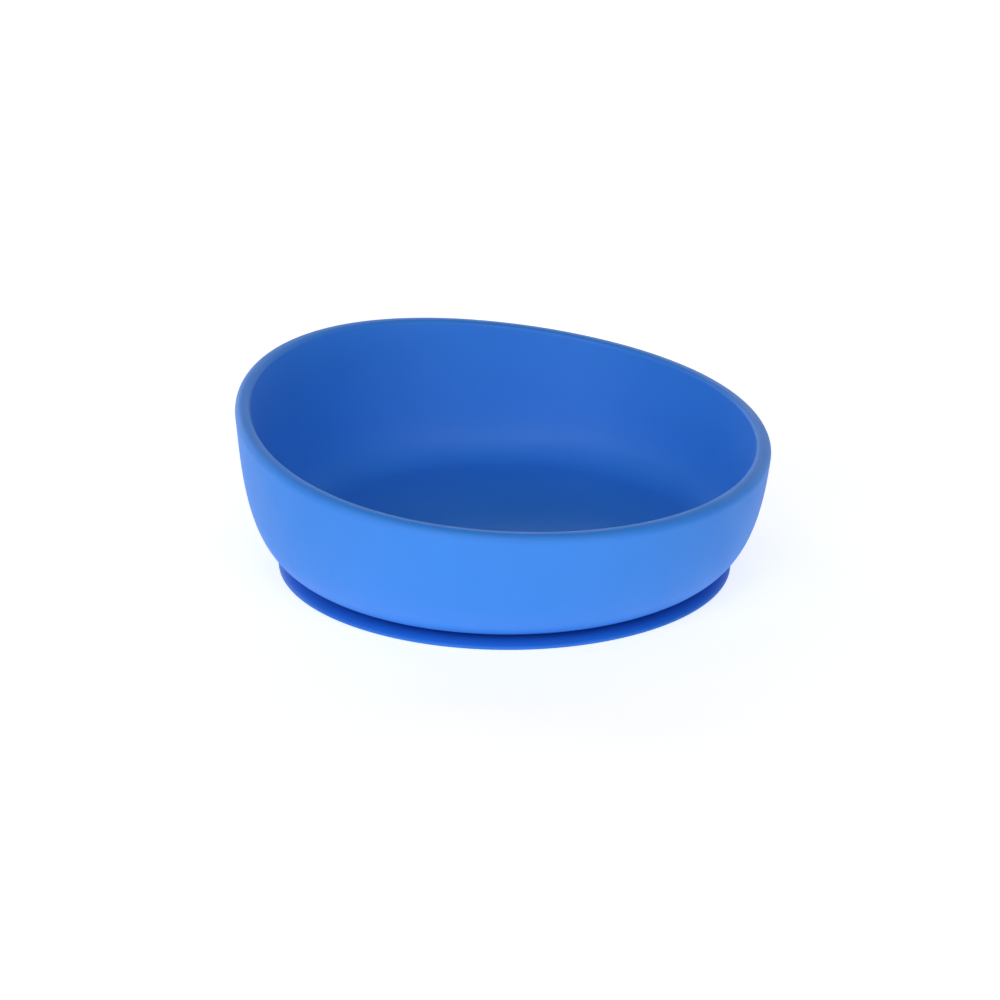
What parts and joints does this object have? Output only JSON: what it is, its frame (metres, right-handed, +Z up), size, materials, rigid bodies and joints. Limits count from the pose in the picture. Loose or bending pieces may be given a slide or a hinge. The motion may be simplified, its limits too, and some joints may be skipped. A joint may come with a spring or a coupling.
{
  "type": "suction bowl",
  "caption": "Round toddler feeding bowl with a swept rim, high at the back and low at the front, on a removable silicone suction base with a release tab.",
  "frame": {"origin": "centre of the suction base's sealing lip, on the table, on the base's axis", "axes": "+Z up along the bowl's axis; +Y towards the tall side of the rim and the release tab; -Y towards the low side of the rim, where the child sits; +X to the right seen from the low side"},
  "size_m": [0.148, 0.1485, 0.0496],
  "materials": {
    "bowl_plastic": "silky matte moulded polypropylene, one plain blue",
    "base_silicone": "soft matte silicone in the bowl's blue"
  },
  "bodies": {
    "suction_skirt": {"suction_skirt": "base_silicone"},
    "suction_hub": {"suction_hub": "base_silicone"},
    "bowl": {"bowl": "bowl_plastic"},
    "release_tab": {"release_tab": "base_silicone"}
  },
  "joints": [
    {"name": "press_down", "type": "slide", "parent": "suction_skirt", "child": "suction_hub", "axis": [0, 0, 1], "range_m": [-0.0008, 0], "stiffness_N_per_m": 1000, "springref_m": 0.0018, "deforming": ["suction_skirt"]},
    {"name": "lift_off", "type": "slide", "parent": "suction_hub", "child": "bowl", "axis": [0, 0, 1], "range_m": [0, 0.04]},
    {"name": "tab_lift", "type": "hinge", "parent": "suction_skirt", "child": "release_tab", "pos_m": [0, 0.062, 0.0008], "axis": [1, 0, 0], "range_deg": [0, 40], "stiffness_Nm_per_rad": 0.004}
  ]
}
